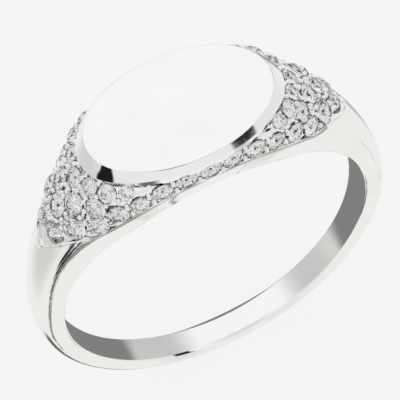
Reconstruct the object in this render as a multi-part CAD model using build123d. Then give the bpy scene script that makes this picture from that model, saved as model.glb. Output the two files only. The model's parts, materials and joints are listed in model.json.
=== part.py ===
from build123d import *

import math
import os

# Signet ring: polished silver band, plain oval signet plate, pave-set shoulders.
# Millimetres. Origin at the centre of the finger bore, +Y along the finger,
# +Z towards the plate, X along the long axis of the plate.
# Band angles are measured from the top, positive towards +X.

# ---- band --------------------------------------------------------------------
BORE_R = 8.6            # inside radius of the band
FOOT = 0.7              # the lofted band starts this far inside the bore, then is bored out
EASE = 0.10             # height and width of the eased edge where side meets bore

# Stations: degrees from the top, half width at the bore, half width at the crease,
# crease height, crest height (both above the bore), squareness of the crown
STATIONS = [
    (0.0, 2.50, 3.40, 2.05, 3.20, 9.0),
    (15.0, 2.46, 3.16, 1.80, 3.62, 5.0),
    (24.0, 2.36, 2.86, 1.62, 3.80, 2.8),
    (30.0, 2.22, 2.56, 1.52, 3.36, 2.1),
    (45.0, 1.80, 1.84, 1.45, 2.42, 1.9),
    (60.0, 1.42, 1.45, 1.12, 1.82, 1.9),
    (75.0, 1.20, 1.25, 0.80, 1.46, 2.0),
    (90.0, 1.03, 1.08, 0.76, 1.30, 2.0),
    (120.0, 0.82, 0.88, 0.64, 1.12, 2.0),
    (150.0, 0.74, 0.88, 0.40, 1.04, 2.0),
    (180.0, 0.65, 0.90, 0.23, 1.05, 2.0),
]
LOFT_STEP = 10          # degrees between the lofted sections

# ---- signet plate ------------------------------------------------------------
PLATE_TOP = 12.16       # height of the flat above the bore centre
PLATE_A = 4.84          # half length of the flat, along X
PLATE_B = 3.22          # half width of the flat, along Y
BEVEL = 30.0            # slope of the bevelled rim, degrees from vertical
PLATE_EDGE = 0.66       # thickness of the plate at the middle of its long sides
PLATE_TIP = 1.25        # thickness at its two tips, where the underside curves down
BULGE = 0.05            # the bevel is a little convex
RIM = 0.07              # rounding between the flat and the bevel
FOOT_A = 5.36           # half length of the plate at the foot of the bevel
FOOT_B = 3.45           # half width of the plate at the foot of the bevel

# ---- stone fields ------------------------------------------------------------
FIELD_END = 51.0        # band angle where the field ends, on the crest
FIELD_TURN = 16.0       # the end sweeps back this many degrees towards the creases
FIELD_DEPTH = 0.13      # the field lies this far below its polished border
FIELD_SWEEP = 85.0      # the field stops this far round the crown, short of the crease
GIRDLE_RISE = 0.06      # girdles stand this far above the field
SEAT_GAP = 0.01         # clearance round a stone in its seat

# Stones of one shoulder: band angle, sweep each side of the crest, diameter
SHOULDER_STONES = [
    (44.2, 20.6, 1.16),
    (37.8, 45.0, 1.28),
    (37.8, 0.0, 1.22),
    (32.2, 68.9, 1.06),
    (33.0, 20.5, 1.16),
    (28.8, 45.6, 1.08),
    (28.8, 0.0, 1.02),
    (26.4, 23.4, 0.94),
    (23.8, 40.5, 0.98),
    (20.0, 48.0, 0.80),
]
# Row along each long side of the plate: band angle, sweep, diameter
SIDE_STONES = [
    (0.0, 66.5, 1.12),
    (6.4, 67.0, 1.12),
    (12.8, 68.5, 1.10),
    (19.2, 71.2, 1.02),
    (25.4, 69.0, 1.08),
]

# ---- stones, as fractions of the girdle diameter -------------------------------
GIRDLE = 0.03
CROWN = 0.16
PAVILION = 0.43
PAVILION_ANGLE = 40.8
TABLE = 0.56


def station_value(angle, column):
    """Smooth value of one station column at a band angle."""
    a = abs(angle)
    if a > 180:
        a = 360 - a
    i = max(k for k in range(len(STATIONS) - 1) if STATIONS[k][0] <= a)
    p1, p2 = STATIONS[i], STATIONS[i + 1]
    span = p2[0] - p1[0]
    t = (a - p1[0]) / span

    def slope(k):
        if k == 0 or k == len(STATIONS) - 1:
            return 0.0
        before, after = STATIONS[k - 1], STATIONS[k + 1]
        return (after[column] - before[column]) / (after[0] - before[0])

    m1, m2 = slope(i) * span, slope(i + 1) * span
    return (
        (2 * t**3 - 3 * t**2 + 1) * p1[column]
        + (t**3 - 2 * t**2 + t) * m1
        + (3 * t**2 - 2 * t**3) * p2[column]
        + (t**3 - t**2) * m2
    )


def crown_point(angle, sweep, lift=0.0):
    """Point of the crown: sweep 0 is the crest, -90 and 90 the two creases."""
    crease_w = station_value(angle, 2) + lift
    crease_r = BORE_R + station_value(angle, 3)
    rise = station_value(angle, 4) - station_value(angle, 3) + lift
    square = station_value(angle, 5)
    s, c = math.sin(math.radians(sweep)), math.cos(math.radians(sweep))
    reach = (abs(s) ** square + abs(c) ** square) ** (-1 / square)
    return at_angle(angle, crease_w * reach * s, crease_r + rise * reach * c)


def at_angle(angle, y, radius):
    a = math.radians(angle)
    return Vector(radius * math.sin(a), y, radius * math.cos(a))


def band_section(angle):
    """Closed outline of the band at one angle."""
    bore_w = station_value(angle, 1)
    crease_w, crease_h = station_value(angle, 2), station_value(angle, 3)
    lean = (crease_w - bore_w) / crease_h
    crown = [crown_point(angle, s) for s in range(-90, 91, 10)]

    def eased_side(sign):
        """From the crease down the side, round the eased edge and into the bore."""
        high = at_angle(angle, sign * (bore_w + lean * EASE), BORE_R + EASE)
        low = at_angle(angle, sign * (bore_w - EASE), BORE_R - EASE / 3)
        foot = at_angle(angle, sign * (bore_w - 2.2 * EASE), BORE_R - FOOT)
        down = at_angle(angle, sign * bore_w, BORE_R) - high
        return high, down, low, foot

    left_high, left_down, left_low, left_foot = eased_side(-1)
    right_high, right_down, right_low, right_foot = eased_side(1)
    wire = Wire([
        Edge.make_spline(crown),
        Edge.make_line(crown[-1], right_high),
        Edge.make_tangent_arc(right_high, right_down, right_low),
        Edge.make_line(right_low, right_foot),
        Edge.make_line(right_foot, left_foot),
        Edge.make_line(left_foot, left_low),
        Edge.make_tangent_arc(left_high, left_down, left_low),
        Edge.make_line(left_high, crown[0]),
    ])
    return Face(wire).outer_wire()


def make_band():
    sections = [band_section(a) for a in range(0, 360, LOFT_STEP)]
    band = Solid.make_loft(sections + sections[:1])
    return band - Cylinder(BORE_R, 20, rotation=(90, 0, 0))


def make_plate():
    """Bevelled oval with a hollow-curved underside that saddles the band."""
    grow = PLATE_TIP * math.tan(math.radians(BEVEL))
    base = Plane((0, 0, PLATE_TOP - PLATE_TIP))
    half_way = Plane((0, 0, PLATE_TOP - PLATE_TIP / 2))
    half_grow = grow / 2 + BULGE
    plate = loft([
        Plane((0, 0, PLATE_TOP)) * Ellipse(PLATE_A, PLATE_B),
        half_way * Ellipse(PLATE_A + half_grow, PLATE_B + half_grow),
        base * Ellipse(PLATE_A + grow, PLATE_B + grow),
    ])
    plate = plate & extrude(base * Ellipse(FOOT_A, FOOT_B), PLATE_TIP)
    sag = PLATE_TIP - PLATE_EDGE
    saddle_r = (FOOT_A**2 + sag**2) / (2 * sag)
    saddle = Cylinder(saddle_r, 20, rotation=(90, 0, 0))
    plate = plate - Pos(0, 0, PLATE_TOP - PLATE_EDGE - saddle_r) * saddle
    return fillet(plate.faces().sort_by(Axis.Z)[-1].edges(), RIM)


def field_section(angle):
    """Closed outline of the metal taken away over the stone field at one angle."""
    inside = FIELD_END + 0.15 - abs(angle)
    reach = min(FIELD_SWEEP, 80.0 * math.sqrt(inside / FIELD_TURN))
    sweeps = [reach * k / 8 for k in range(-8, 9)]
    low = [crown_point(angle, s, -FIELD_DEPTH) for s in sweeps]
    high = [crown_point(angle, s, 0.6) for s in sweeps]
    wire = Wire([
        Edge.make_spline(low),
        Edge.make_line(low[-1], high[-1]),
        Edge.make_spline(high),
        Edge.make_line(high[0], low[0]),
    ])
    return Face(wire).outer_wire()


def make_field_cutter():
    ends = [FIELD_END - d for d in (0, 0.5, 1.3, 2.4, 4, 6, 8.5, 11.5, 15)]
    angles = [-a for a in ends] + list(range(-32, 33, 4)) + ends[::-1]
    return Solid.make_loft([field_section(a) for a in angles])


def stone_place(angle, sweep):
    """Plane on the field: origin on the surface, z out of the metal, x along the band."""
    here = crown_point(angle, sweep, -FIELD_DEPTH)
    along = crown_point(angle + 0.2, sweep) - crown_point(angle - 0.2, sweep)
    across = crown_point(angle, sweep + 0.5) - crown_point(angle, sweep - 0.5)
    out = along.cross(across).normalized()
    return Plane(origin=here + out * GIRDLE_RISE, x_dir=along, z_dir=out)


def make_seat(diameter):
    """Cutter for a stone seat: a cone under the girdle and a round hole above it."""
    r = diameter / 2 + SEAT_GAP
    depth = r * math.tan(math.radians(PAVILION_ANGLE)) + GIRDLE * diameter / 2
    cone = Pos(0, 0, -GIRDLE * diameter / 2) * Cone(
        0, r, depth, align=(Align.CENTER, Align.CENTER, Align.MAX))
    hole = Pos(0, 0, -GIRDLE * diameter / 2) * Cylinder(
        r, 0.25, align=(Align.CENTER, Align.CENTER, Align.MIN))
    return cone + hole


def facet(body, azimuth, tilt, radius, height):
    """Cut one flat facet; a negative tilt faces down."""
    a, t = math.radians(azimuth), math.radians(abs(tilt))
    point = (radius * math.cos(a), radius * math.sin(a), height)
    normal = (
        math.sin(t) * math.cos(a),
        math.sin(t) * math.sin(a),
        math.copysign(math.cos(t), tilt),
    )
    return split(body, bisect_by=Plane(origin=point, z_dir=normal), keep=Keep.BOTTOM)


def make_brilliant():
    """Round brilliant with a girdle diameter of 1, table up, girdle at z = 0."""
    r, top = 0.5, GIRDLE / 2
    outline = RegularPolygon(r, 16)
    body = extrude(outline, CROWN + top) + extrude(outline, -(PAVILION + 0.1))
    edge_r = r * math.cos(math.pi / 16)
    table_r = TABLE / 2 * math.cos(math.pi / 8)
    for k in range(16):
        body = facet(body, 11.25 + 22.5 * k, 40.0, edge_r, top)
        body = facet(body, 11.25 + 22.5 * k, -42.0, edge_r, -top)
    for k in range(8):
        body = facet(body, 45 * k, 34.0, r, top)
        body = facet(body, 45 * k, -PAVILION_ANGLE, r, -top)
        body = facet(body, 22.5 + 45 * k, 20.0, table_r, top + CROWN)
    return body


stones = {}
seats = []
brilliant = make_brilliant()


def set_stone(name, angle, sweep, diameter):
    place = stone_place(angle, sweep)
    stones[name] = place * scale(brilliant, by=diameter)
    seats.append(place * make_seat(diameter))


for side, sign in (("left", -1), ("right", 1)):
    count = 0
    for angle, sweep, diameter in SHOULDER_STONES:
        for s in sorted({-sweep, sweep}):
            count += 1
            set_stone(f"stone_{side}_{count:02d}", sign * angle, s, diameter)
for row, sign in (("front", -1), ("back", 1)):
    count = 0
    for angle, sweep, diameter in SIDE_STONES:
        for a in sorted({-angle, angle}):
            count += 1
            set_stone(f"stone_{row}_{count:02d}", a, sign * sweep, diameter)

band = make_band()
plate = make_plate()
shank = band - plate - make_field_cutter()
print("shank", shank.volume, shank.is_valid, len(shank.solids()), len(shank.faces()))
shank = shank - seats
plate = plate - seats
print("shank", shank.volume, shank.is_valid, len(shank.solids()), len(shank.faces()))
print("plate", plate.volume, plate.is_valid, [x.volume for x in plate.solids()])

os.makedirs("parts", exist_ok=True)
export_step(shank, "parts/shank.step")
export_step(plate, "parts/signet_plate.step")
for name, stone in stones.items():
    export_step(stone, f"parts/{name}.step")
print(len(stones), "stones")
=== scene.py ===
import json
import math

import bmesh
import bpy
from mathutils import Matrix, Vector
from mathutils.bvhtree import BVHTree


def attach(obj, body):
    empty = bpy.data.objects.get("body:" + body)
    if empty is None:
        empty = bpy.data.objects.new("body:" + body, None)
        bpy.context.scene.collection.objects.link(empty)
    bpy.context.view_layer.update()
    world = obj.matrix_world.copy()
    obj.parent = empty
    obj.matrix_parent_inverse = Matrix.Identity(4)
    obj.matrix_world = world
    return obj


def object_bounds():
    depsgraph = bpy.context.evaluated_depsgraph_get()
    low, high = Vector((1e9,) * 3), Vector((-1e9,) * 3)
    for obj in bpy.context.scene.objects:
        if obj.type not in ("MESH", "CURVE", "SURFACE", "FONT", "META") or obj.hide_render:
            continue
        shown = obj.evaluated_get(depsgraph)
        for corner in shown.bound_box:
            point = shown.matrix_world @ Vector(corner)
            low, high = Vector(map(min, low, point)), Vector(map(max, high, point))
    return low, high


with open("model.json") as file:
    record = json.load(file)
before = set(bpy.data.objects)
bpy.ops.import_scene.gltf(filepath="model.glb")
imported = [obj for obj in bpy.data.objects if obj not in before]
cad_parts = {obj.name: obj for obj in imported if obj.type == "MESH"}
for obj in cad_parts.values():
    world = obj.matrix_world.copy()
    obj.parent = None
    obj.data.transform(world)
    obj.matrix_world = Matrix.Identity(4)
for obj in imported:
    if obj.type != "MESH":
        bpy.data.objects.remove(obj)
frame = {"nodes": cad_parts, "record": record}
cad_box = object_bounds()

# A silver signet ring with a plain oval plate and two pave-set shoulders.
# The CAD parts stay as they are; this script gives them their polish, adds the raised
# grains that hold the stones and the border round them, and sets up the light and the
# camera. Metres, and degrees for the angles that are named constants.

MM = 0.001
nodes = frame["nodes"]
STONE_GROUPS = ("left", "right", "front", "back")
stone_names = {
    group: sorted(n for n in nodes if n.startswith(f"stone_{group}_"))
    for group in STONE_GROUPS
}

# ---- sizes of the grains -------------------------------------------------------
GRAIN_R = 0.15 * MM        # radius of a raised grain between stones
GRAIN_RISE = 0.24 * MM      # how far its top stands above the metal around it
NEIGHBOUR_GAP = 0.42 * MM   # stones closer than this share grains
MERGE_WITHIN = 0.24 * MM    # two grain places closer than this are one grain
MIN_SIDESTEP = 0.6          # least distance of a grain from the line of centres, in radii
STONE_CLEARANCE = 0.35      # how far a grain's middle stays out of any stone, in radii
STONE_REACH = 2 * MM        # stones farther off than this can't be in a grain's way
DROP_FROM = 0.6 * MM        # grains are dropped onto the metal from this height
DROP_DEPTH = 1.2 * MM
GRAIN_TURNS = 14
# Radius and height of a grain's outline, in shares of its radius and its rise
GRAIN_PROFILE = [
    (1.30, -0.9), (1.12, -0.1), (1.0, 0.25), (0.86, 0.58), (0.62, 0.83), (0.32, 0.96),
]
ROW_STRETCH = 1.35          # the grains of the side rows are longer than they are wide
STRETCHES = {"left": 1.0, "right": 1.0, "front": ROW_STRETCH, "back": ROW_STRETCH}


# ---- nodes -------------------------------------------------------------------
class Graph:
    """Small helper that adds and links shader nodes."""

    def __init__(self, tree):
        self.tree = tree
        tree.nodes.clear()

    def add(self, kind, **values):
        node = self.tree.nodes.new(kind)
        for key, value in values.items():
            setattr(node, key, value)
        return node

    def link(self, source, target):
        self.tree.links.new(source, target)

    def noise(self, vector, scale, detail=2.0, roughness=0.5):
        node = self.add("ShaderNodeTexNoise")
        node.inputs["Scale"].default_value = scale
        node.inputs["Detail"].default_value = detail
        node.inputs["Roughness"].default_value = roughness
        self.link(vector, node.inputs["Vector"])
        return node.outputs["Fac"]

    def remap(self, value, low, high, to_low, to_high, smooth=False):
        node = self.add("ShaderNodeMapRange")
        node.interpolation_type = "SMOOTHSTEP" if smooth else "LINEAR"
        for name, number in (
            ("From Min", low), ("From Max", high), ("To Min", to_low), ("To Max", to_high),
        ):
            node.inputs[name].default_value = number
        self.link(value, node.inputs["Value"])
        return node.outputs["Result"]

    def mix(self, factor, first, second):
        """Mix of two colours; the factor is an output, the colours are tuples or outputs."""
        node = self.add("ShaderNodeMix", data_type="RGBA")
        self.link(factor, node.inputs["Factor"])
        for name, colour in (("A", first), ("B", second)):
            socket = next(s for s in node.inputs if s.name == name and s.type == "RGBA")
            if isinstance(colour, tuple):
                socket.default_value = (*colour, 1.0)
            else:
                self.link(colour, socket)
        return next(s for s in node.outputs if s.type == "RGBA")

    def scaled(self, vector, scale):
        node = self.add("ShaderNodeVectorMath", operation="MULTIPLY")
        node.inputs[1].default_value = scale
        self.link(vector, node.inputs[0])
        return node.outputs[0]


def new_material(name):
    material = bpy.data.materials.new(name)
    material.use_nodes = True
    graph = Graph(material.node_tree)
    shader = graph.add("ShaderNodeBsdfPrincipled")
    output = graph.add("ShaderNodeOutputMaterial")
    graph.link(shader.outputs["BSDF"], output.inputs["Surface"])
    coords = graph.add("ShaderNodeTexCoord").outputs["Object"]
    return material, graph, shader, coords


def silver(name, light, shade, rough_low, rough_high, hairlines, ripple):
    """Polished silver: cloudy tone and polish, hairline scratches, a faint hand-buffed ripple."""
    material, graph, shader, coords = new_material(name)
    shader.inputs["Metallic"].default_value = 1.0
    cloud = graph.noise(coords, 420.0, 3.0)
    graph.link(
        graph.mix(graph.remap(cloud, 0.35, 0.65, 0.0, 1.0), light, shade),
        shader.inputs["Base Color"],
    )
    scratches = graph.noise(graph.scaled(coords, (700.0, 9000.0, 2500.0)), 1.0, 4.0, 0.7)
    polish = graph.noise(coords, 900.0, 4.0, 0.6)
    wear = graph.add("ShaderNodeMath", operation="MULTIPLY")
    graph.link(graph.remap(scratches, 0.5, 0.75, 0.0, 1.0), wear.inputs[0])
    graph.link(graph.remap(polish, 0.4, 0.65, 0.2, 1.0), wear.inputs[1])
    graph.link(
        graph.remap(wear.outputs[0], 0.0, 1.0, rough_low, rough_high),
        shader.inputs["Roughness"],
    )
    fine = graph.add("ShaderNodeBump")
    fine.inputs["Strength"].default_value = hairlines
    fine.inputs["Distance"].default_value = 0.002 * MM
    graph.link(scratches, fine.inputs["Height"])
    soft = graph.add("ShaderNodeBump")
    soft.inputs["Strength"].default_value = ripple
    soft.inputs["Distance"].default_value = 0.01 * MM
    graph.link(graph.noise(coords, 650.0, 1.0), soft.inputs["Height"])
    graph.link(fine.outputs["Normal"], soft.inputs["Normal"])
    graph.link(soft.outputs["Normal"], shader.inputs["Normal"])
    return material


def clear_stone(name):
    """Cubic zirconia: clear, high index, with the faintest grey cloud and polish marks."""
    material, graph, shader, coords = new_material(name)
    shader.inputs["Transmission Weight"].default_value = 1.0
    shader.inputs["IOR"].default_value = 1.85
    cloud = graph.noise(coords, 1500.0, 3.0)
    graph.link(graph.mix(cloud, (1.0, 1.0, 1.0), (0.93, 0.94, 0.955)), shader.inputs["Base Color"])
    graph.link(graph.remap(cloud, 0.3, 0.7, 0.0, 0.03), shader.inputs["Roughness"])
    fine = graph.add("ShaderNodeBump")
    fine.inputs["Strength"].default_value = 0.05
    fine.inputs["Distance"].default_value = 0.002 * MM
    graph.link(graph.noise(coords, 5000.0, 3.0), fine.inputs["Height"])
    graph.link(fine.outputs["Normal"], shader.inputs["Normal"])
    return material


band_silver = silver("polished_silver_band", (0.972, 0.966, 0.955), (0.935, 0.932, 0.925),
                     0.045, 0.13, 0.25, 0.18)
plate_silver = silver("polished_silver_plate", (0.985, 0.975, 0.972), (0.96, 0.95, 0.948),
                      0.04, 0.11, 0.22, 0.10)
grain_silver = silver("bright_silver_grains", (0.975, 0.97, 0.96), (0.90, 0.895, 0.88),
                      0.03, 0.10, 0.2, 0.1)
# Darker silver for the seam along the stone rows: painted shade for the shadowed gap under the
# stones.
seam_painted_shade_silver = silver("silver_painted_seam_shade", (0.60, 0.585, 0.55), (0.42, 0.41, 0.385),
                       0.22, 0.40, 0.2, 0.1)
stone_clear = clear_stone("clear_round_stone")


def dress(obj, material):
    obj.data.materials.clear()
    obj.data.materials.append(material)


for name, obj in nodes.items():
    if name.startswith("stone_"):
        dress(obj, stone_clear)
dress(nodes["shank"], band_silver)
dress(nodes["signet_plate"], plate_silver)


# ---- grains ------------------------------------------------------------------
def gauge(obj):
    """Girdle centre, outward axis and girdle radius of a stone, from its mesh."""
    mesh = obj.data
    area = {}
    for face in mesh.polygons:
        key = tuple(round(c, 2) for c in face.normal)
        area[key] = area.get(key, 0.0) + face.area
    table = Vector(max(area, key=area.get)).normalized()
    middle = sum((v.co for v in mesh.vertices), Vector()) / len(mesh.vertices)
    radial = [(v.co - middle) - table * (v.co - middle).dot(table) for v in mesh.vertices]
    radius = max(r.length for r in radial)
    rim = [v.co for v, r in zip(mesh.vertices, radial) if r.length > 0.97 * radius]
    return sum(rim, Vector()) / len(rim), table, radius


gauges = {group: [gauge(nodes[n]) for n in names] for group, names in stone_names.items()}
all_gauges = [g for group in STONE_GROUPS for g in gauges[group]]


def notches(first, second):
    """The two places beside the narrowest gap of two stones where a grain touches both."""
    (c1, n1, r1), (c2, n2, r2) = first, second
    apart = c2 - c1
    gap = apart.length - r1 - r2
    if gap > NEIGHBOUR_GAP:
        return []
    out = (n1 + n2).normalized()
    along = (apart - out * apart.dot(out)).normalized()
    side = out.cross(along)
    reach1, reach2 = r1 + GRAIN_R, r2 + GRAIN_R
    d = apart.length
    x = (d * d + reach1**2 - reach2**2) / (2 * d)
    height = math.sqrt(max(reach1**2 - x * x, (MIN_SIDESTEP * GRAIN_R) ** 2))
    return [(c1 + along * x + side * height * s, out) for s in (-1, 1)]


def merged(places):
    """Places closer together than MERGE_WITHIN become one, at their average."""
    groups = []
    for point, out in places:
        for group in groups:
            centre = sum((p for p, _ in group), Vector()) / len(group)
            if (centre - point).length < MERGE_WITHIN:
                group.append((point, out))
                break
        else:
            groups.append([(point, out)])
    return [
        (sum((p for p, _ in g), Vector()) / len(g), sum((o for _, o in g), Vector()).normalized())
        for g in groups
    ]


def clear_of_stones(place):
    """Whether a grain place stays outside every stone."""
    point, out = place
    for centre, _, radius in all_gauges:
        flat = (point - centre) - out * (point - centre).dot(out)
        near = (point - centre).length < STONE_REACH
        if near and flat.length < radius + STONE_CLEARANCE * GRAIN_R:
            return False
    return True


def lathe_grain(mesh, point, out, size, along, stretch):
    """A grain: a short flared neck that rounds over into a bead, longer along the row."""
    turns = GRAIN_TURNS
    across = (along - out * along.dot(out)).normalized() * stretch
    around = out.cross(across).normalized()
    rings = []
    for r, h in GRAIN_PROFILE:
        rings.append([
            mesh.verts.new(
                point + out * (h * GRAIN_RISE)
                + (across * math.cos(2 * math.pi * k / turns)
                   + around * math.sin(2 * math.pi * k / turns)) * (r * size))
            for k in range(turns)
        ])
    top = mesh.verts.new(point + out * GRAIN_RISE)
    for low, high in zip(rings, rings[1:]):
        for k in range(turns):
            j = (k + 1) % turns
            mesh.faces.new((low[k], low[j], high[j], high[k]))
    for k in range(turns):
        mesh.faces.new((rings[-1][k], rings[-1][(k + 1) % turns], top))
    mesh.faces.new(rings[0][::-1])


def surface_of(obj):
    mesh = obj.data
    return BVHTree.FromPolygons([v.co for v in mesh.vertices], [p.vertices for p in mesh.polygons])


shank_surface = surface_of(nodes["shank"])


def new_object(name, mesh):
    """A scene object made from a finished bmesh."""
    data = bpy.data.meshes.new(name)
    mesh.to_mesh(data)
    mesh.free()
    obj = bpy.data.objects.new(name, data)
    bpy.context.scene.collection.objects.link(obj)
    return obj


def add_silver_piece(name, mesh, materials):
    """A smooth piece of the ring that belongs to the band."""
    obj = new_object(name, mesh)
    obj.data.shade_smooth()
    for material in materials:
        obj.data.materials.append(material)
    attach(obj, "root")


def make_grains(name, stones, stretch):
    """One object with every grain that these stones share."""
    places = []
    for i, first in enumerate(stones):
        for second in stones[i + 1:]:
            places += notches(first, second)
    mesh = bmesh.new()
    for point, out in filter(clear_of_stones, merged(places)):
        hit = shank_surface.ray_cast(point + out * DROP_FROM, -out, DROP_DEPTH)
        if hit[0] is None:
            continue
        row = Vector((0, 1, 0)).cross(out)
        lathe_grain(mesh, hit[0], out, GRAIN_R, row, stretch)
    add_silver_piece(name, mesh, [grain_silver])


for group, stretch in STRETCHES.items():
    make_grains(f"grains_{group}", gauges[group], stretch)

# ---- raised border round the stones --------------------------------------------
bore_r = frame["record"]["mounts"][0]["dims"]["r_mm"] * MM
BORDER_END = 51.8           # band angle where the border crosses the crest, degrees
BORDER_TURN = 16.0          # it sweeps back this many degrees towards the creases
BORDER_SIDE = BORDER_END - BORDER_TURN
CREASE_MID = 2.02 * MM      # height of the crease above the bore, at the middle
CREASE_END = 1.50 * MM      # and beside the shoulders
CREASE_SPAN = 30.0          # the crease height changes over this many degrees of band
LIP_HALF = 0.32 * MM        # half width and height of the border round the shoulder's end
LIP_RISE = 0.085 * MM
CREST_RISE = 0.35           # share of that height that is left where it crosses the crest
WIRE_HALF = 0.11 * MM       # half width and height of the seam along the rows, which carries painted shade
WIRE_RISE = 0.035 * MM
SINK = 0.008 * MM           # the edges of both lie this far inside the band
SKIRT = 0.15 * MM           # and the underside this far
SKIRT_HALF = 0.6            # half width of the underside, as a share of the piece's
SEAM_FROM = 33.0            # the seam turns into the bright border over these band angles
SEAM_TO = 42.0
TURN_SWEEP = 88             # the end runs from crease to crease, this far each side
TURN_STEP = 4
TURN_POWER = 2.4            # above 2 the end is flatter across the crest
SIDE_STEPS = 24             # steps along half a row
ACROSS_STEPS = 12           # faces across the border
CAST_FROM = 6 * MM          # rays start this far outside the band


def border_route():
    """Band angle and sweep round the crown, all the way round the stones."""
    turn = [
        (s, BORDER_END - BORDER_TURN * abs(s / TURN_SWEEP) ** TURN_POWER)
        for s in range(-TURN_SWEEP, TURN_SWEEP + 1, TURN_STEP)
    ]
    side = [k * BORDER_SIDE / SIDE_STEPS for k in range(1 - SIDE_STEPS, SIDE_STEPS)]
    return (
        [(a, s) for s, a in turn]
        + [(a, 90) for a in reversed(side)]
        + [(-a, s) for s, a in reversed(turn)]
        + [(a, -90) for a in side]
    )


def on_crown(angle, sweep):
    """Place and normal of the shank where a line from its crease level leaves it."""
    a, s = math.radians(angle), math.radians(sweep)
    share = min(abs(angle) / CREASE_SPAN, 1.0)
    height = CREASE_MID + (CREASE_END - CREASE_MID) * share
    radial = Vector((math.sin(a), 0, math.cos(a)))
    aim = radial * math.cos(s) + Vector((0, math.sin(s), 0))
    hit = shank_surface.ray_cast(radial * (bore_r + height) + aim * CAST_FROM, -aim)
    return hit[0], hit[1]


def smoothed(values, rounds):
    """A closed run of vectors, each eased towards its neighbours."""
    for _ in range(rounds):
        values = [
            (values[i - 1] + values[i] * 2 + values[(i + 1) % len(values)]) / 4
            for i in range(len(values))
        ]
    return values


def make_border(name):
    """One closed strip laid on the band all the way round the stones."""
    route = border_route()
    hits = [on_crown(angle, sweep) for angle, sweep in route]
    places = smoothed([h[0] for h in hits], 3)
    normals = smoothed([h[1] for h in hits], 6)
    mesh = bmesh.new()
    rings = []
    for i, (angle, sweep) in enumerate(route):
        out = normals[i].normalized()
        ahead = (places[(i + 1) % len(places)] - places[i - 1]).normalized()
        side = out.cross(ahead).normalized()
        share = min(max((abs(angle) - SEAM_FROM) / (SEAM_TO - SEAM_FROM), 0.0), 1.0)
        share = share * share * (3 - 2 * share)
        half = WIRE_HALF + (LIP_HALF - WIRE_HALF) * share
        fade = CREST_RISE + (1 - CREST_RISE) * (sweep / 90) ** 2
        rise = WIRE_RISE + (LIP_RISE - WIRE_RISE) * share * fade
        ring = []
        for k in range(ACROSS_STEPS + 1):
            u = 1 - 2 * k / ACROSS_STEPS
            swell = math.cos(math.pi * u / 2) ** 2
            ring.append(mesh.verts.new(
                places[i] + side * (u * half) + out * (swell * rise - SINK)))
        for u in (-SKIRT_HALF, SKIRT_HALF):
            ring.append(mesh.verts.new(places[i] - out * SKIRT + side * (u * half)))
        rings.append(ring)
    for i, ring in enumerate(rings):
        after = rings[(i + 1) % len(rings)]
        # The seam faces beside the rows get the darker silver, which is painted shade for the gap
        # under the stones. The ends round the shoulders keep the band silver.
        seam = abs(route[i][0]) < (SEAM_FROM + SEAM_TO) / 2
        for k in range(len(ring)):
            j = (k + 1) % len(ring)
            face = mesh.faces.new((ring[k], ring[j], after[j], after[k]))
            face.material_index = 1 if seam else 0
    bmesh.ops.recalc_face_normals(mesh, faces=mesh.faces)
    add_silver_piece(name, mesh, [band_silver, seam_painted_shade_silver])


make_border("field_border")

# ---- floor, light and camera ---------------------------------------------------
FLOOR_HALF = 0.6
FLOOR_GLOW = 0.86
low = cad_box[0]

floor_mesh = bmesh.new()
bmesh.ops.create_grid(floor_mesh, x_segments=1, y_segments=1, size=FLOOR_HALF)
floor = new_object("floor", floor_mesh)
floor.location = (0, 0, low.z)
floor_material, floor_graph, floor_shader, floor_coords = new_material("pale_floor")
floor_shader.inputs["Roughness"].default_value = 1.0
floor_shader.inputs["Specular IOR Level"].default_value = 0.0
floor_tone = floor_graph.noise(floor_coords, 30.0, 2.0)
floor_graph.link(
    floor_graph.mix(floor_tone, (0.06, 0.06, 0.06), (0.062, 0.062, 0.062)),
    floor_shader.inputs["Base Color"],
)
floor_shader.inputs["Emission Color"].default_value = (1.0, 1.0, 1.0, 1.0)
floor_shader.inputs["Emission Strength"].default_value = FLOOR_GLOW
floor.data.materials.append(floor_material)
floor.visible_glossy = False
floor.visible_transmission = False

# A grey card stands behind the ring, seen only in the polish of the bore.
CARD_BACK = 6.0 * MM        # its distance behind the middle of the ring
CARD_WIDTH = 1.06           # half width, in bore radii
CARD_HALF_HEIGHT = 6.5 * MM
CARD_MIDDLE = 0.85          # height of its middle, as a share of the ring's lowest point
CARD_SOLID_BELOW = -6.8 * MM
CARD_CLEAR_ABOVE = -5.2 * MM
card_mesh = bmesh.new()
for x, z in ((-1, -1), (1, -1), (1, 1), (-1, 1)):
    card_mesh.verts.new((
        x * bore_r * CARD_WIDTH, CARD_BACK, low.z * CARD_MIDDLE + z * CARD_HALF_HEIGHT))
card_mesh.faces.new(card_mesh.verts)
grey_card = new_object("grey_card", card_mesh)
card_material = bpy.data.materials.new("grey_card")
card_material.use_nodes = True
card_graph = Graph(card_material.node_tree)
card_out = card_graph.add("ShaderNodeOutputMaterial")
card_glow = card_graph.add("ShaderNodeEmission")
card_clear = card_graph.add("ShaderNodeBsdfTransparent")
card_mix = card_graph.add("ShaderNodeMixShader")
card_place = card_graph.add("ShaderNodeSeparateXYZ")
card_graph.link(card_graph.add("ShaderNodeTexCoord").outputs["Object"], card_place.inputs[0])
card_graph.link(
    card_graph.remap(
        card_place.outputs["Z"], CARD_SOLID_BELOW, CARD_CLEAR_ABOVE, 1.0, 0.0, smooth=True),
    card_mix.inputs["Fac"])
card_glow.inputs["Color"].default_value = (0.22, 0.22, 0.22, 1.0)
card_graph.link(card_clear.outputs[0], card_mix.inputs[1])
card_graph.link(card_glow.outputs[0], card_mix.inputs[2])
card_graph.link(card_mix.outputs[0], card_out.inputs["Surface"])
grey_card.data.materials.append(card_material)
grey_card.visible_camera = False
grey_card.visible_diffuse = False
grey_card.visible_transmission = False
grey_card.visible_shadow = False

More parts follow.
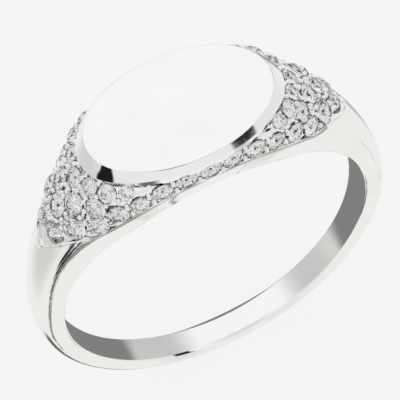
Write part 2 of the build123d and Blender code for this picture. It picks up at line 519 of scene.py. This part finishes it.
world = bpy.data.worlds.new("white_tent")
bpy.context.scene.world = world
world.use_nodes = True
sky = Graph(world.node_tree)
direction = sky.add("ShaderNodeTexCoord").outputs["Generated"]
background = sky.add("ShaderNodeBackground")
world_output = sky.add("ShaderNodeOutputWorld")


def card(under, azimuth, elevation, half_width, softness, colour):
    """A soft round card of another tone on the tent wall, all angles in degrees."""
    a, e = math.radians(azimuth), math.radians(elevation)
    node = sky.add("ShaderNodeVectorMath", operation="DOT_PRODUCT")
    sky.link(direction, node.inputs[0])
    node.inputs[1].default_value = (
        math.sin(a) * math.cos(e), -math.cos(a) * math.cos(e), math.sin(e))
    edge_out = math.cos(math.radians(half_width + softness))
    edge_in = math.cos(math.radians(max(half_width - softness, 0.0)))
    return sky.mix(
        sky.remap(node.outputs["Value"], edge_out, edge_in, 0.0, 1.0, smooth=True),
        under, colour)


split = sky.add("ShaderNodeSeparateXYZ")
sky.link(direction, split.inputs[0])
height = split.outputs["Z"]
tent = sky.mix(sky.remap(height, -0.6, -0.1, 0.0, 1.0, smooth=True),
               (0.87, 0.875, 0.86), (0.80, 0.80, 0.79))
tent = sky.mix(sky.remap(height, 0.0, 0.7, 0.0, 1.0, smooth=True), tent, (0.95, 0.94, 0.94))
TENT_CARDS = [
    # azimuth, elevation, half width, softness, colour
    (-127.0, 17.0, 20.0, 12.0, (0.58, 0.58, 0.575)),  # the dimmer corners at the back
    (127.0, 17.0, 20.0, 12.0, (0.58, 0.58, 0.575)),
    (-115.0, -14.0, 20.0, 16.0, (0.66, 0.66, 0.65)),
    (165.6, -56.0, 5.0, 4.0, (0.24, 0.24, 0.235)),   # the shaded ground behind the ring
    (-122.0, -74.0, 13.0, 3.0, (0.13, 0.13, 0.125)),
    (-14.0, 60.0, 22.0, 20.0, (0.72, 0.72, 0.72)),    # the dim ceiling round the camera
    (-14.0, 56.0, 8.0, 3.0, (0.03, 0.03, 0.03)),     # the camera itself
    (-77.0, 0.5, 10.5, 1.5, (0.012, 0.012, 0.015)),   # black flags that draw the dark accents
    (-85.0, -6.0, 5.0, 1.5, (0.012, 0.012, 0.015)),
    (44.0, 11.5, 6.0, 1.0, (0.02, 0.02, 0.02)),
    (39.0, 12.0, 5.7, 1.0, (0.02, 0.02, 0.02)),
    (34.0, 13.3, 5.6, 1.0, (0.02, 0.02, 0.02)),
    (30.0, 14.8, 5.6, 1.0, (0.02, 0.02, 0.02)),
    (-62.0, -27.0, 5.0, 2.5, (0.02, 0.02, 0.02)),
    (-52.0, -36.0, 5.4, 2.5, (0.02, 0.02, 0.02)),
    (-43.0, -46.0, 4.6, 3.0, (0.06, 0.06, 0.055)),
    (-35.0, -55.0, 4.2, 3.0, (0.14, 0.14, 0.135)),
    (-24.0, -64.0, 4.2, 3.6, (0.25, 0.25, 0.24)),
    (42.0, -58.0, 2.5, 4.0, (0.55, 0.55, 0.54)),
    (145.0, -40.0, 8.0, 6.0, (0.38, 0.38, 0.37)),
]
for azimuth, elevation, half_width, softness, colour in TENT_CARDS:
    tent = card(tent, azimuth, elevation, half_width, softness, colour)
sky.link(tent, background.inputs["Color"])
backdrop = sky.add("ShaderNodeBackground")
backdrop.inputs["Color"].default_value = (0.913, 0.913, 0.913, 1.0)
seen = sky.add("ShaderNodeLightPath")
choose = sky.add("ShaderNodeMixShader")
sky.link(seen.outputs["Is Camera Ray"], choose.inputs["Fac"])
sky.link(background.outputs[0], choose.inputs[1])
sky.link(backdrop.outputs[0], choose.inputs[2])
sky.link(choose.outputs[0], world_output.inputs["Surface"])

# The view, as angles about the middle of the bore, and how far the ring sits off centre
VIEW_AZIMUTH = -14.455
VIEW_ELEVATION = 56.323
VIEW_ROLL = -13.058
VIEW_DISTANCE = 125.35 * MM
VIEW_OFFSET = (0.4793 * MM, -2.150 * MM)
FILM = 36.0
LENS = 217.97


def look(azimuth, elevation, roll):
    """Right, up and backward directions of a camera at these angles."""
    a, e = math.radians(azimuth), math.radians(elevation)
    back = Vector((math.sin(a) * math.cos(e), -math.cos(a) * math.cos(e), math.sin(e)))
    right = Vector((0, 0, 1)).cross(back).normalized()
    up = back.cross(right)
    c, s = math.cos(math.radians(roll)), math.sin(math.radians(roll))
    return right * c + up * s, up * c - right * s, back


right, up, back = look(VIEW_AZIMUTH, VIEW_ELEVATION, VIEW_ROLL)
camera_data = bpy.data.cameras.new("camera")
camera_data.sensor_width = FILM
camera_data.lens = LENS
camera_data.clip_start = 0.005
camera_data.clip_end = 5.0
camera = bpy.data.objects.new("camera", camera_data)
bpy.context.scene.collection.objects.link(camera)
camera.matrix_world = Matrix((right, up, back)).transposed().to_4x4()
camera.location = back * VIEW_DISTANCE - right * VIEW_OFFSET[0] - up * VIEW_OFFSET[1]
bpy.context.scene.camera = camera
bpy.context.scene.view_settings.view_transform = "Standard"
